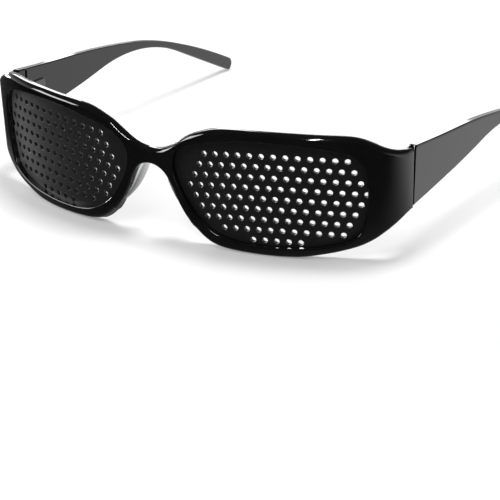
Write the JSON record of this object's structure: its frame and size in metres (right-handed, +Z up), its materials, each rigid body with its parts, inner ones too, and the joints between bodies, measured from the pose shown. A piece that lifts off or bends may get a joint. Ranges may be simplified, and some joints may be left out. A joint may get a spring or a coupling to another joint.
{
  "type": "pinhole glasses",
  "caption": "Wrap-front pinhole glasses with perforated opaque panels, soft nose pads and folding temples on screw hinges.",
  "frame": {"origin": "on the symmetry plane, on the surface the glasses stand on, midway along their depth from the front to the temple tips", "axes": "+Y from the front back along the temples, +Z up, +X to the wearer's left"},
  "size_m": [0.1468, 0.1592, 0.0388],
  "materials": {
    "frame_black": "deep black gloss",
    "panel_black": "black with a satin grain",
    "pad_clear": "clear soft pad",
    "hinge_steel": "plain nickel-plated",
    "screw_steel": "bright plated"
  },
  "bodies": {
    "front": {"front_frame": "frame_black", "pinhole_panel_left": "panel_black", "pinhole_panel_right": "panel_black", "nose_pad_left": "pad_clear", "nose_pad_right": "pad_clear", "hinge_frame_leaf_left": "hinge_steel", "hinge_frame_leaf_right": "hinge_steel", "hinge_screw_left": "screw_steel", "hinge_screw_right": "screw_steel"},
    "temple_left_body": {"temple_left": "frame_black", "hinge_temple_leaf_left": "hinge_steel"},
    "temple_right_body": {"temple_right": "frame_black", "hinge_temple_leaf_right": "hinge_steel"}
  },
  "joints": [
    {"name": "temple_left_fold", "type": "hinge", "parent": "front", "child": "temple_left_body", "pos_m": [0.069, -0.04584, 0.02457], "axis": [0, 0, 1], "range_deg": [0, 90]},
    {"name": "temple_right_fold", "type": "hinge", "parent": "front", "child": "temple_right_body", "pos_m": [-0.069, -0.04584, 0.02457], "axis": [0, 0, -1], "range_deg": [0, 86]}
  ]
}
